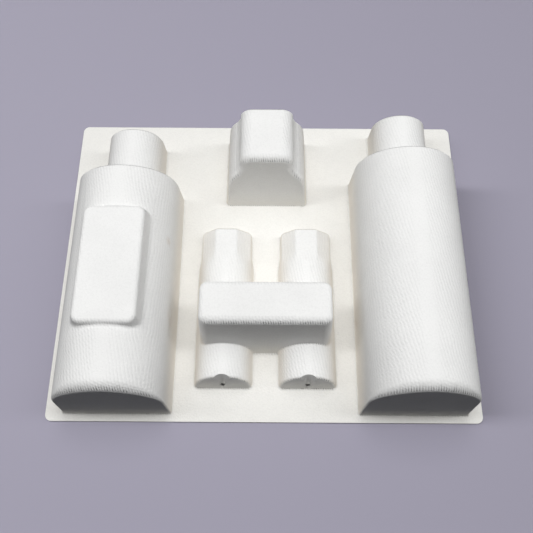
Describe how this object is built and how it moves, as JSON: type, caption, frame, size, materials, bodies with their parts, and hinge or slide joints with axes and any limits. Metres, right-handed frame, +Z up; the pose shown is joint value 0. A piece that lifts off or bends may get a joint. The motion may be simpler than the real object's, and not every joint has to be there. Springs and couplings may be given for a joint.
{
  "type": "moulded pulp bottle shipper insert",
  "caption": "Thin moulded pulp tray on a flat flange, with long round bottle pockets and necks, short round pockets with faceted necks, a jar pocket and flat-topped pads.",
  "frame": {"origin": "middle of the tray's outline, on the underside of the flange", "axes": "+X along the tray's long side, +Y from the bottles' bases towards their necks, +Z up out of the flange towards the pads"},
  "size_m": [0.3, 0.24, 0.0695],
  "materials": {
    "moulded_pulp": "dry matt moulded fibre with fine tool lines"
  },
  "bodies": {
    "root": {"pulp_insert": "moulded_pulp"}
  },
  "joints": []
}
